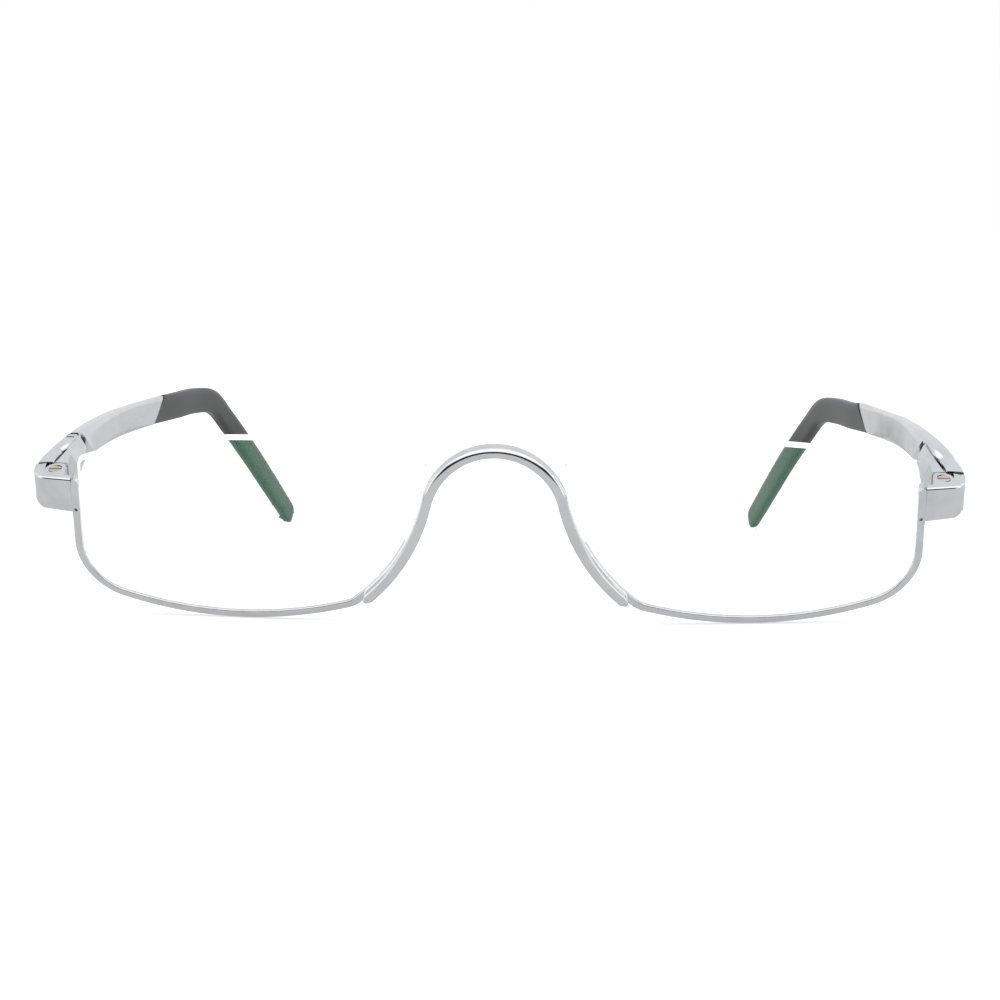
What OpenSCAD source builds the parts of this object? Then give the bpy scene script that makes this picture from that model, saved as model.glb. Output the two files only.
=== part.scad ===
// Half-rim reading glasses with a saddle bridge and sprung hinges.
// The front stands on its rim bottoms and leans back over its top edge; the hooks' tips touch the same surface.
// Front sizes are set out in the plane of the front: u across, v backwards, w up. X is the wearer's width,
// Y runs from the bridge to the ears and Z is up. Millimetres and degrees.

/* [Front] */
// Lean of the front, its top towards the viewer
lean = 25; // [22:1:27]
// Radius of the sphere that each lens follows
face_r = 130; // [120:5:150]
// Distance of that sphere's nearest point from the middle of the face
face_u = 18; // [16:1:20]

/* [Lens] */
// Width of one lens
lens_w = 51.9; // [51:0.1:52.4]
// Height of the lens edge above the lowest point of the rim
lens_top = 30.9; // [29.5:0.1:32]
// Thickness at the middle of the lens
lens_t = 1.8; // [1.6:0.1:2]
// Radius of the back surface, flatter than the front so that the lens magnifies
lens_back_r = 165; // [155:5:180]
// Radius of the top edge of the lens
top_r = 66.3; // [60:0.5:75]
// Radius of the long bottom edge of the lens
bottom_r = 71.7; // [66:0.5:78]
// Radius of the lower outer corner of the lens
corner_r = 7.2; // [6:0.2:8.4]

/* [Rim] */
// Width of the rim wire seen from the front
rim_w = 1.2; // [1.1:0.05:1.35]
// Depth of the rim wire from front to back
rim_d = 2; // [1.8:0.1:2.2]
// Depth of the groove that holds the lens
groove_d = 0.45; // [0.35:0.05:0.55]
// Width of that groove
groove_w = 0.8; // [0.7:0.05:0.9]
// Thickness of the clear line that holds the top of the lens
line_t = 0.45; // [0.35:0.05:0.5]

/* [Bridge] */
// Height of the middle of the bridge wire above the rim bottoms
bridge_rise = 29.94; // [29:0.2:31]
// Radius of the arch over the nose
arch_r = 10.2; // [9.6:0.1:10.8]
// Angle that the arch turns through on each side
arch_sweep = 76.9; // [75:0.5:78]
// Radius of each leg below the arch
leg_r = 33.9; // [32:0.5:36]
// Angle that each leg turns through
leg_sweep = 32.6; // [30:0.5:34]
// Width of the bridge ribbon
bridge_w = 1.55; // [1.4:0.05:1.7]
// Depth of the bridge ribbon
bridge_d = 2; // [1.8:0.1:2.2]

/* [End pieces and hinges] */
// Height of the hinge above the rim bottoms
hinge_w = 17.45; // [16.5:0.25:18.5]
// Width of an end piece from the rim to its outer side
end_w = 6; // [5.8:0.05:6.6]
// Height of an end piece at its inner edge
end_h = 5.75; // [5.4:0.05:6.2]
// Radius between the front and the side of an end piece
end_r = 3; // [2.6:0.1:3.2]
// Distance of the hinge axis from the outer side
hinge_in = 3.25; // [3.1:0.05:3.4]
// Outer radius of the hinge barrel
barrel_r = 1.3; // [1.2:0.05:1.35]
// Radius of the hinge screw
screw_r = 0.7; // [0.6:0.05:0.75]
// Height of the barrel between the two ears
barrel_h = 2.6; // [2.4:0.1:2.8]
// Distance of the hinge axis behind the face of the end piece
hinge_back = 2.8; // [2.7:0.05:3]
// Length of the hinge arm from the axis to the mouth of the spring box
arm_l = 12.3; // [11.9:0.1:12.7]
// Running clearance of moving faces
run_gap = 0.05; // [0.03:0.01:0.08]
// Travel of the sprung hinge
flex_travel = 1; // [0.8:0.1:1.1]

/* [Temples] */
// Distance from the bridge's foremost point back to the highest point of the hook
bend_reach = 112; // [106:1:118]
// Distance from that high point back to the end of the tip
hook_reach = 37; // [34:1:40]
// Length of the tip in front of that high point
sleeve_l = 26.5; // [24:0.5:29]
// Height of the temple behind the spring box
blade_h = 4.4; // [4:0.1:4.8]
// Thickness of the temple where it meets the tip
blade_t = 1.6; // [1.4:0.1:1.8]
// Thickness of the spring box
box_t = 3.15; // [3.05:0.05:3.3]
// Thickness of the tip at its end
tip_t = 2.5; // [2.2:0.1:2.8]
// Radius of the core wire inside the tip
core_r = 0.55; // [0.45:0.05:0.6]

/* [Hidden] */
metal = "silver";
seat_gap = 0.04;
far = 60;

// The bridge legs and the nose side of each lens share one centre.
arch_c = [0, bridge_rise - arch_r];
leg_c = arch_c + (arch_r + leg_r) * [sin(arch_sweep), cos(arch_sweep)];
leg_set = 0.8;
nose_r = leg_r - leg_set;
lens_in = leg_c[0] - nose_r;
lens_out = lens_in + lens_w;

// Outline of the lens: five arcs and the straight outer side. d moves it outwards.
rim_out = seat_gap + rim_w;
low_in = 18.6;
low_u = lens_out - low_in;
top_shift = 4.3;
bottom_c = [low_u, bottom_r + rim_out];
top_c = [(lens_in + lens_out) / 2 - top_shift, lens_top - top_r];
nose_low_r = 2.8;
top_in_r = 0.8;
top_out_r = 1.6;

function meet(a, ra, b, rb, side) =
    let (ab = b - a, d = norm(ab), k = (ra * ra - rb * rb + d * d) / (2 * d), s = sqrt(ra * ra - k * k))
    a + k * ab / d + side * s * [-ab[1], ab[0]] / d;
function angle(c, p) = let (a = atan2(p[1] - c[1], p[0] - c[0])) a > 0 ? a - 360 : a;
function arc(c, r, a, b, n) = [for (i = [0 : n]) c + r * [cos(a + (b - a) * i / n), sin(a + (b - a) * i / n)]];

corner_c = [lens_out - corner_r,
    bottom_c[1] - sqrt(pow(bottom_r - corner_r, 2) - pow(lens_out - corner_r - low_u, 2))];
nose_low_c = meet(bottom_c, bottom_r - nose_low_r, leg_c, nose_r - nose_low_r, -1);
top_in_c = meet(leg_c, nose_r - top_in_r, top_c, top_r - top_in_r, -1);
top_out_c = [lens_out - top_out_r,
    top_c[1] + sqrt(pow(top_r - top_out_r, 2) - pow(lens_out - top_out_r - top_c[0], 2))];

function outline(d) = concat(
    arc(corner_c, corner_r + d, 0, angle(bottom_c, corner_c), 10),
    arc(bottom_c, bottom_r + d, angle(bottom_c, corner_c), angle(bottom_c, nose_low_c), 20),
    arc(nose_low_c, nose_low_r + d, angle(bottom_c, nose_low_c), angle(leg_c, nose_low_c), 4),
    arc(leg_c, nose_r + d, angle(leg_c, nose_low_c), angle(leg_c, top_in_c), 16),
    arc(top_in_c, top_in_r + d, angle(leg_c, top_in_c), angle(top_c, top_in_c), 4),
    arc(top_c, top_r + d, angle(top_c, top_in_c), angle(top_c, top_out_c), 24),
    arc(top_out_c, top_out_r + d, angle(top_c, top_out_c), -360, 5));

// Depth of the lens sphere at a place on the front; off moves it backwards.
face_w = 15;
function face_v(u, w, off) = face_r - sqrt(pow(face_r - off, 2) - pow(u - face_u, 2) - pow(w - face_w, 2));

// Standing height of the front: its lowest rim point touches Z = 0.
function down(u, w, v) = v * sin(lean) + w * cos(lean);
front_z = -min([for (p = outline(rim_out)) down(p[0], p[1], face_v(p[0], p[1], -rim_d / 2))]);

// End piece and hinge, as seen from above the front.
end_in = lens_out + rim_out;
side_u = end_in + end_w;
hinge_u = side_u - hinge_in;
end_slope = 20.3;
front_v = face_v(end_in, hinge_w, -rim_d / 2);
function end_v(u) = front_v + (u - end_in) * tan(end_slope);
hinge_v = end_v(hinge_u) + hinge_back;
plate_l = 2.1;
joint_v = hinge_v + plate_l;
ear_r = barrel_r + 0.3;
wall_v = hinge_v - plate_l;
wall_t = 1.2;
slot_gap = 0.15;
end_low = hinge_w - end_h / 2;
end_top = hinge_w + end_h / 2;
end_drop = 0.8;
end_low_drop = 0.35;
head_r = 0.95;
head_h = 0.45;
ear_top = end_top - end_drop * (hinge_u - end_in) / (side_u - end_in);

// Spring box: where the hinge arm enters it, and the parting line between arm and strip.
mouth_v = hinge_v + arm_l;
mouth_tilt = 28;
mouth_gap = 0.35;
neck_gap = 0.25;
wing_gap = 0.1;
neck_rise = 0.45;
neck_in = -1.5;
neck_out = -0.3;
wing_out = 0.25;
wing_end = -2.15;
wing_in = -2.75;
wing_crest = -1.45;
wing_slope = 12;
wing_turn = 2.8;
tongue_w = 1.1;
tongue_h = 2.3;
tongue_l = 3;
bush_l = 1.2;
bush_r = 1;
pin_r = 0.4;
coil_n = 6;
coil_r = 0.66;
wire_r = 0.15;
spring_l = 2 * wire_r * (coil_n + 2) + 2 * flex_travel;
pin_head_r = 0.8;
pin_head_l = 0.6;

// Y is counted from the front's own zero line first, and then from the middle of the whole object.
apex_w = bridge_rise + bridge_w / 2;
bow_r = 72;
bow_w = 12.4;
bow_u = 15;
solder = 0.02;
bow_v = face_v(bow_u, bow_w, -rim_d / 2) - bridge_d + solder;
function bow(w) = bow_v + bow_r - sqrt(bow_r * bow_r - pow(w - bow_w, 2));
function to_y(v, w) = v * cos(lean) - w * sin(lean);
function to_z(v, w) = v * sin(lean) + w * cos(lean) + front_z;
front_y = to_y(bow(apex_w), apex_w);
bend_y = front_y + bend_reach;
tip_y = bend_y + hook_reach;
mid_y = (front_y + tip_y) / 2;

// Stations along the middle of a temple: x, y, z, thickness, height, slant, how square the section is on its
// inner and its outer side, and how far its inner side leans inwards below.
box_v = joint_v + 8;
box_u = hinge_u - 0.62;
box_y = to_y(box_v, hinge_w);
slant = 1.5;
sleeve_y = bend_y - sleeve_l;
temple_rise = 1.9;
temple_z = to_z(box_v, hinge_w) + temple_rise;
METAL = [
    [side_u - 1.45, to_y(joint_v - 4, hinge_w), to_z(joint_v - 4, hinge_w - 0.35), 2.9, end_h - 0.25, 0, 0.22, 0.3, 0],
    [side_u - 1.5, to_y(joint_v + 0.5, hinge_w), to_z(joint_v + 0.5, hinge_w - 0.3), 2.95, end_h - 0.35, 0, 0.24, 0.36, 0],
    [side_u - 2.55, to_y(joint_v + 4.4, hinge_w), to_z(joint_v + 4.4, hinge_w - 0.45), 2.9, 4.95, 0, 0.28, 0.6, 0.08],
    [box_u, box_y, to_z(box_v, hinge_w - 0.1), box_t, blade_h, 0, 0.3, 0.76, 0.16],
    [hinge_u - 2, box_y + 10, temple_z - 0.6, box_t - 0.2, blade_h - 0.1, 0, 0.32, 0.76, 0.12],
    [hinge_u - 3, box_y + 25, temple_z - 0.1, (box_t + blade_t) / 2 - 0.2, blade_h, 0, 0.36, 0.75, 0.08],
    [hinge_u - 3.85, sleeve_y - 21, temple_z - 0.15, blade_t + 0.15, blade_h + 0.1, 0, 0.4, 0.7, 0],
    [hinge_u - 4.8, sleeve_y - 9, temple_z - 0.2, blade_t, blade_h + 0.1, slant * 0.6, 0.42, 0.65, 0],
    [hinge_u - 6.1, sleeve_y, temple_z - 0.1, blade_t, blade_h + 0.1, slant, 0.45, 0.62, 0]];
TIP = [
    [hinge_u - 6.1, sleeve_y, temple_z - 0.1, blade_t, blade_h + 0.1, slant, 0.45, 0.62, 0],
    [hinge_u - 7.9, sleeve_y + 8.5, temple_z, blade_t + 0.35, blade_h + 0.1, slant * 0.4, 0.5, 0.6, 0],
    [hinge_u - 9.8, bend_y - 8.5, temple_z + 0.1, 2.15, blade_h, 0, 0.55, 0.6, 0],
    [hinge_u - 11.8, bend_y, temple_z - 0.75, 2.3, blade_h, 0, 0.6, 0.6, 0],
    [hinge_u - 13.6, bend_y + 7, temple_z - 4.6, 2.4, blade_h, 0, 0.6, 0.6, 0],
    [hinge_u - 16.4, bend_y + 15.3, temple_z - 10.4, 2.5, blade_h + 0.1, 0, 0.6, 0.6, 0],
    [hinge_u - 19.2, bend_y + 24.4, temple_z - 16.8, tip_t, blade_h + 0.2, 0, 0.6, 0.6, 0],
    [hinge_u - 21.7, tip_y - 3.9, 3.2, tip_t, blade_h, 0, 0.6, 0.6, 0],
    [hinge_u - 22.5, tip_y - 1.55, 1.55, tip_t - 0.2, blade_h - 0.6, 0, 0.62, 0.62, 0]];

// Smooth curve through a list of stations; s counts stations.
function station(P, i) = i < 0 ? 2 * P[0] - P[1] : i >= len(P) ? 2 * P[len(P) - 1] - P[len(P) - 2] : P[i];
function along(P, s) =
    let (i = floor(s), f = s - i, a = station(P, i - 1), b = station(P, i), c = station(P, i + 1), d = station(P, i + 2))
    b + f * (c - a) / 2 + f * f * (a - 2.5 * b + 2 * c - d / 2) + f * f * f * (1.5 * (b - c) + (d - a) / 2);
function place(v) = [v[0], v[1], v[2]];
function unit(v) = v / norm(v);
function heading(P, s) = unit(place(along(P, s + 0.02)) - place(along(P, s - 0.02)));

// One closed section across the curve: a rounded oblong of the station's thickness and height.
section_n = 16;
function soft(a, k) = sign(a) * pow(abs(a), k);
function ring(P, s, round_r = 0) =
    let (q = along(P, s), t = heading(P, s), n = unit(cross(t, [0, 0, 1])), b = cross(n, t))
    [for (j = [0 : section_n - 1])
        let (a = 360 * j / section_n,
            k = cos(a) < 0 ? q[6] : q[7],
            h = round_r > 0 ? round_r * sin(a) : q[4] / 2 * soft(sin(a), k),
            lean_in = cos(a) < 0 ? q[8] * h : 0,
            e = round_r > 0 ? round_r * cos(a) : q[3] / 2 * soft(cos(a), k) + lean_in)
        place(q) + e * n + h * b + q[5] * h * t];
function blunt(P, s, k, ahead) =
    let (q = along(P, s), t = heading(P, s), c = place(q) + ahead * t)
    [for (p = ring(P, s)) c + k * (p - place(q))];
function fan(base, flip) = [for (j = [1 : section_n - 2])
    flip ? [base, base + j, base + j + 1] : [base, base + j + 1, base + j]];
function skin(rows, i) = [for (j = [0 : section_n - 1])
    let (a = i * section_n + j, b = i * section_n + (j + 1) % section_n, c = a + section_n, d = b + section_n)
    each [[a, b, d], [a, d, c]]];
module loft(rows) {
    polyhedron(points = [for (r = rows) each r],
        faces = concat(fan(0, false), [for (i = [0 : len(rows) - 2]) each skin(rows, i)],
            fan((len(rows) - 1) * section_n, true)), convexity = 8);
}

module front() {
    translate([0, -mid_y, front_z]) rotate([lean, 0, 0]) children();
}
module whole() {
    translate([0, -mid_y, 0]) children();
}
module flipped(left) {
    mirror([left ? 1 : 0, 0, 0]) children();
}
module slab(points) {
    translate([0, far / 2, 0]) rotate([90, 0, 0]) linear_extrude(height = far) polygon(points);
}
module face_ball(off) {
    translate([face_u, face_r, face_w]) rotate([90, 0, 0]) sphere(r = face_r - off, $fn = 240);
}
module face_shell(a, b) {
    difference() {
        face_ball(a);
        face_ball(b);
    }
}
module hinge() {
    translate([hinge_u, hinge_v, hinge_w]) children();
}

// Nose bridge
leg_from = -90 - arch_sweep;
function leg(off) = arc(leg_c, leg_r - off, leg_from, leg_from + leg_sweep, 12);
function arch(off) = arc(arch_c, arch_r + off, 90, 90 - arch_sweep, 16);
function flip(P) = [for (i = [len(P) - 1 : -1 : 0]) [-P[i][0], P[i][1]]];
function reverse(P) = [for (i = [len(P) - 1 : -1 : 0]) P[i]];
function half_wire(off) = concat(arch(off), leg(off));

module bridge() {
    upper = half_wire(bridge_w / 2);
    lower = half_wire(-bridge_w / 2);
    color(metal) front() intersection() {
        slab(concat(flip(upper), upper, reverse(lower), reverse(flip(lower))));
        translate([0, bow_v + bow_r, bow_w]) rotate([0, 90, 0]) difference() {
            cylinder(r = bow_r, h = far, center = true, $fn = 240);
            cylinder(r = bow_r - bridge_d, h = far + 2, center = true, $fn = 240);
        }
    }
}

// Rims
rim_end_w = 15.3;
line_tuck = 1.5;
ridge_tuck = line_tuck + 0.5;
module rim_reach(grow = 0) {
    slab([[-far, -far], [2 * far, -far], [2 * far, end_top - grow], [top_c[0], end_top - grow],
        [top_c[0], rim_end_w - grow], [-far, rim_end_w - grow]]);
}
rim_mid_u = lens_out + seat_gap + rim_w / 2;
line_hole_r = 0.25;
line_hole_up = 0.7;
module across(u, w, r) {
    translate([u, far / 2, w]) rotate([90, 0, 0]) cylinder(r = r, h = far, $fn = 40);
}
module rim(left) {
    color(metal) flipped(left) front() difference() {
        intersection() {
            difference() {
                slab(outline(rim_out));
                slab(outline(seat_gap));
                intersection() {
                    slab(outline(seat_gap + groove_d));
                    face_shell(-groove_w / 2, groove_w / 2);
                }
            }
            face_shell(-rim_d / 2, rim_d / 2);
            union() {
                rim_reach(rim_w / 2);
                across(rim_mid_u, end_top - rim_w / 2, rim_w / 2);
            }
        }
        across(rim_mid_u, end_low + line_hole_up, line_hole_r);
    }
}
module rim_left() rim(true);
module rim_right() rim(false);

// Lenses: two spheres, a ridge that sits in the rim groove and a groove for the line over the top
lens_mid = [(lens_in + lens_out) / 2, (lens_top + rim_out) / 2];
lens_front = [lens_mid[0], face_v(lens_mid[0], lens_mid[1], -lens_t / 2), lens_mid[1]];
to_face = unit([face_u, face_r, face_w] - lens_front);
back_c = lens_front + (lens_t + lens_back_r) * to_face;
module lens(left) {
    color([0.9, 0.95, 0.92, 0.4]) flipped(left) front() union() {
        difference() {
            intersection() {
                slab(outline(0));
                face_ball(-lens_t / 2);
            }
            translate(back_c) rotate([90, 0, 0]) sphere(r = lens_back_r, $fn = 240);
            intersection() {
                difference() {
                    slab(outline(1));
                    slab(outline(-line_t));
                    rim_reach(line_tuck);
                }
                face_shell(-line_t / 2, line_t / 2);
            }
        }
        intersection() {
            difference() {
                slab(outline(groove_d));
                slab(outline(-0.1));
            }
            face_shell(seat_gap - groove_w / 2, groove_w / 2 - seat_gap);
            rim_reach(ridge_tuck);
        }
    }
}
module lens_left() lens(true);
module lens_right() lens(false);

// Clear line over the top of each lens, held at both ends between lens and rim
module lens_line(left) {
    color([0.95, 0.95, 0.95, 0.6]) flipped(left) front() intersection() {
        difference() {
            slab(outline(0));
            slab(outline(seat_gap - line_t));
            rim_reach(line_tuck - seat_gap);
        }
        face_shell(seat_gap - line_t / 2, line_t / 2 - seat_gap);
    }
}
module lens_line_left() lens_line(true);
module lens_line_right() lens_line(false);

// End pieces
end_turn = 90 - end_slope;
round_c = [side_u - end_r, end_v(side_u) + end_r * tan(end_turn / 2)];
end_plan = concat(
    [[end_in, front_v]],
    arc([round_c[0], round_c[1]], end_r, -end_turn, 0, 8),
    [[side_u, joint_v], [hinge_u + ear_r, joint_v], [hinge_u + ear_r, hinge_v], [hinge_u - ear_r, hinge_v],
        [hinge_u - ear_r, wall_v], [end_in, end_v(end_in) + wall_t]]);
low_r = 1.4;
end_front = concat(
    [[end_in, end_top], [end_in, end_low]],
    arc([side_u - low_r, end_low - end_low_drop + low_r], low_r, -90, 0, 6),
    [[side_u, end_top - end_drop]]);
module end_piece(left) {
    color(metal) flipped(left) front() difference() {
        intersection() {
            union() {
                translate([0, 0, end_low - end_h]) linear_extrude(height = 3 * end_h) polygon(end_plan);
                translate([hinge_u, hinge_v, end_low - end_h]) cylinder(r = ear_r, h = 3 * end_h, $fn = 48);
            }
            slab(end_front);
        }
        hinge() {
            slot_h = barrel_h + 2 * run_gap;
            translate([0, 0, -slot_h / 2]) cylinder(r = barrel_r + slot_gap, h = slot_h, $fn = 48);
            translate([-far, wall_v - hinge_v, -slot_h / 2]) cube([far, far, slot_h]);
            translate([-1, 0, -slot_h / 2]) cube([1 + barrel_r + slot_gap, far, slot_h]);
            cylinder(r = screw_r + run_gap, h = 3 * end_h, center = true, $fn = 48);
            translate([0, 0, ear_top - hinge_w - head_h]) cylinder(r = head_r + 0.08, h = end_h, $fn = 48);
        }
    }
}
module end_piece_left() end_piece(true);
module end_piece_right() end_piece(false);

// Hinge screws
module hinge_screw(left) {
    shank_top = ear_top - hinge_w - head_h;
    shank_low = end_low - hinge_w + 0.25;
    color("gainsboro") flipped(left) front() hinge() difference() {
        union() {
            translate([0, 0, shank_low]) cylinder(r = screw_r, h = shank_top - shank_low + 0.1, $fn = 48);
            translate([0, 0, shank_top]) cylinder(r = head_r, h = head_h - 0.03, $fn = 48);
        }
        translate([-head_r, -0.14, shank_top + head_h / 2]) cube([2 * head_r, 0.28, head_h]);
    }
}
module hinge_screw_left() hinge_screw(true);
module hinge_screw_right() hinge_screw(false);

// The slide line of the sprung hinge, from the mouth of the spring box backwards
slide_from = [hinge_u - 1, to_y(mouth_v, hinge_w), to_z(mouth_v, hinge_w)];
slide_to = place(METAL[4]) + [0.15, 0, 0];
slide_dir = unit(slide_to - slide_from);
slide_yaw = atan2(-slide_dir[0], slide_dir[1]);
slide_pitch = asin(slide_dir[2]);
module on_slide(s) {
    translate(slide_from) rotate([slide_pitch, 0, slide_yaw]) translate([0, s, 0]) children();
}
module rod(r, l) {
    rotate([-90, 0, 0]) cylinder(r = r, h = l, $fn = 40);
}
module tongue(grow, from, to) {
    translate([-tongue_w / 2 - grow, from, -tongue_h / 2 - grow])
        cube([tongue_w + 2 * grow, to - from, tongue_h + 2 * grow]);
}
bush_at = tongue_l + 0.25;
spring_at = bush_at + bush_l + 0.04;
head_at = spring_at + spring_l + 0.04;
bore_l = head_at + pin_head_l + 0.6;

// Hinge arms: barrel, neck, tongue and spring pin
wing_v = plate_l - 0.2;
neck_plan = [[-1.2, -0.2], [0.9, 0.4], [0.45, plate_l], [neck_out, 6], [neck_out, far], [neck_in, far],
    [neck_in, plate_l]];
wing_plan = [[wing_out, wing_v], [wing_end, arm_l], [wing_end, far], [wing_in, far], [wing_in, arm_l - 1],
    [wing_in + 0.3, 6.4], [neck_in - 0.1, 4.3], [neck_in - 0.1, wing_v]];
wing_side = [[wing_v, 2.45], [6.5, 2.05], [arm_l + 2, 1.95], [arm_l + 2, -2.4], [wing_v, -2.65]];
module before_mouth(gap) {
    translate([0, arm_l, 0]) rotate([mouth_tilt, 0, 0]) translate([-far, -2 * far - gap, -far])
        cube(2 * far);
}
module seen_from_side(points) {
    translate([far / 2, 0, 0]) rotate([90, 0, 0]) rotate([0, 90, 0]) translate([0, 0, -far])
        linear_extrude(height = far) polygon(points);
}
module upright(points, low, high) {
    translate([0, 0, low]) linear_extrude(height = high - low) polygon(points);
}
module hinge_arm(left) {
    color(metal) flipped(left) union() {
        whole() {
            on_slide(0) tongue(0, -1.6, tongue_l);
            on_slide(tongue_l - 0.2) rod(pin_r, head_at - tongue_l + 0.4);
            on_slide(head_at) rod(pin_head_r, pin_head_l);
        }
        front() hinge() difference() {
            union() {
                cylinder(r = barrel_r, h = barrel_h, center = true, $fn = 48);
                intersection() {
                    upright(neck_plan, -barrel_h / 2, barrel_h / 2);
                    before_mouth(mouth_gap);
                }
                intersection() {
                    upright(wing_plan, -end_h, end_h);
                    seen_from_side(wing_side);
                    translate([wing_crest, 0, wing_side[0][1]]) rotate([0, wing_slope, wing_turn])
                        translate([0, 0, -far]) cube(2 * far);
                    before_mouth(mouth_gap);
                }
            }
            cylinder(r = screw_r + run_gap, h = 2 * end_h, center = true, $fn = 48);
        }
    }
}
module hinge_arm_left() hinge_arm(true);
module hinge_arm_right() hinge_arm(false);

// Bush that is fixed in the spring box, and the spring behind it
module spring_bush(left) {
    color("tan") flipped(left) whole() on_slide(bush_at) difference() {
        rod(bush_r, bush_l);
        translate([0, -1, 0]) rod(pin_r + run_gap, bush_l + 2);
    }
}
module spring_bush_left() spring_bush(true);
module spring_bush_right() spring_bush(false);

wire_n = 6;
coil_steps = 12;
function coil_ring(i) =
    let (a = 360 * i / coil_steps, y = wire_r + (spring_l - 2 * wire_r) * i / (coil_n * coil_steps),
        c = [coil_r * cos(a), y, coil_r * sin(a)], out = [cos(a), 0, sin(a)])
    [for (j = [0 : wire_n - 1]) c + wire_r * (cos(360 * j / wire_n) * out + sin(360 * j / wire_n) * [0, 1, 0])];
module flex_spring(left) {
    n = coil_n * coil_steps;
    color("dimgray") flipped(left) whole() on_slide(spring_at) polyhedron(
        points = [for (i = [0 : n]) each coil_ring(i)],
        faces = concat(
            [for (i = [0 : n - 1], j = [0 : wire_n - 1])
                let (a = i * wire_n + j, b = i * wire_n + (j + 1) % wire_n)
                each [[a, a + wire_n, b + wire_n], [a, b + wire_n, b]]],
            [for (j = [1 : wire_n - 2]) [0, j, j + 1]],
            [for (j = [1 : wire_n - 2]) [n * wire_n, n * wire_n + j + 1, n * wire_n + j]]), convexity = 10);
}
module flex_spring_left() flex_spring(true);
module flex_spring_right() flex_spring(false);

// Temples: strip, spring box and blade in one, with the core wire that the tip is pushed on
blade_last = len(METAL) - 1;
core_last = len(TIP) - 2.4;
core_steps = 22;
module temple(left) {
    steps = 4 * blade_last;
    body = [for (i = [0 : steps]) ring(METAL, i / 4)];
    core = [for (i = [0 : core_steps]) ring(TIP, core_last * i / core_steps, core_r)];
    color(metal) flipped(left) difference() {
        whole() loft(concat(body, core));
        front() hinge() {
            translate([-far, -far, -far / 2]) cube([2 * far, far + plate_l + run_gap, far]);
            intersection() {
                union() {
                    upright([[-far, 0], [wing_out + wing_gap, 0], [wing_out + wing_gap, wing_v],
                        [wing_end + wing_gap, arm_l], [wing_end + wing_gap, far], [-far, far]], -far, far);
                    upright([[-far, 0], [1.1, 0], [0.95, plate_l], [neck_out + neck_gap, 6],
                        [neck_out + neck_gap, far], [-far, far]], -barrel_h / 2 - run_gap, barrel_h / 2 + neck_rise);
                }
                before_mouth(0);
            }
        }
        whole() {
            on_slide(0) tongue(run_gap, -flex_travel - 1.8, bush_at);
            on_slide(bush_at - 0.02) rod(bush_r + seat_gap, bore_l - bush_at);
        }
    }
}
module temple_left() temple(true);
module temple_right() temple(false);

// Tips: hollow sleeves over the core wire, bent down behind the ear
tip_gap = 0.05;
module temple_tip(left) {
    last = len(TIP) - 1;
    steps = 4 * last;
    inner = [for (i = [core_steps : -1 : 0])
        ring(TIP, core_last * i / core_steps + (i == core_steps ? 0.05 : 0), core_r + tip_gap)];
    outer = [for (i = [0 : steps]) ring(TIP, last * i / steps)];
    ends = [for (k = [1 : 4]) blunt(TIP, last, cos(90 * k / 4.4), 1.5 * sin(90 * k / 4.4))];
    color([0.25, 0.25, 0.26]) flipped(left) whole() translate([0, tip_gap, 0]) loft(concat(inner, outer, ends));
}
module temple_tip_left() temple_tip(true);
module temple_tip_right() temple_tip(false);

bridge();
rim_left();
rim_right();
lens_left();
lens_right();
lens_line_left();
lens_line_right();
end_piece_left();
end_piece_right();
hinge_screw_left();
hinge_screw_right();
hinge_arm_left();
hinge_arm_right();
flex_spring_left();
flex_spring_right();
spring_bush_left();
spring_bush_right();
temple_left();
temple_right();
temple_tip_left();
temple_tip_right();
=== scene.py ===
"""Half-rim reading glasses: the finish of every piece, the studio and the camera."""

import logging
import math
from dataclasses import dataclass, field
from enum import Enum

import bmesh
import bpy
from mathutils import Matrix, Vector

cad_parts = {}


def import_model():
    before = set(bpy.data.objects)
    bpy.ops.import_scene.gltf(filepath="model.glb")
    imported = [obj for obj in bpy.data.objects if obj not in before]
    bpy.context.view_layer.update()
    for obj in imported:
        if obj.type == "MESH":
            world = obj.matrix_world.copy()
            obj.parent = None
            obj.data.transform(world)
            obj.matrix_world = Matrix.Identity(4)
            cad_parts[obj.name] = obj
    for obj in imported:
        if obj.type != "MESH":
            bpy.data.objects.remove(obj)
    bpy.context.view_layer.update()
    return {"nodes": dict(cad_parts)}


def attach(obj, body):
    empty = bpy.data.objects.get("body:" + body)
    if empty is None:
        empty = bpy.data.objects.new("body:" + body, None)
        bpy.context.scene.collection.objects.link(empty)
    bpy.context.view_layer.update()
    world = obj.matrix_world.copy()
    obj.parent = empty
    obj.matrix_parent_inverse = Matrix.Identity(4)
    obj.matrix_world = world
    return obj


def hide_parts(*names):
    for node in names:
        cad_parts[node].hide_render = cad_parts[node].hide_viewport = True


LOG = logging.getLogger("glasses")
MM = 0.001
# The largest share of a half width that the radius of its edges may take.
ROUNDEST = 0.9
Tree = bpy.types.NodeTree
Socket = bpy.types.NodeSocket


class Side(Enum):
    """The two halves of the glasses, as seen in the photograph."""

    LEFT = "left"
    RIGHT = "right"

    @property
    def sign(self) -> int:
        """X direction of this side."""
        return -1 if self is Side.LEFT else 1


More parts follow.
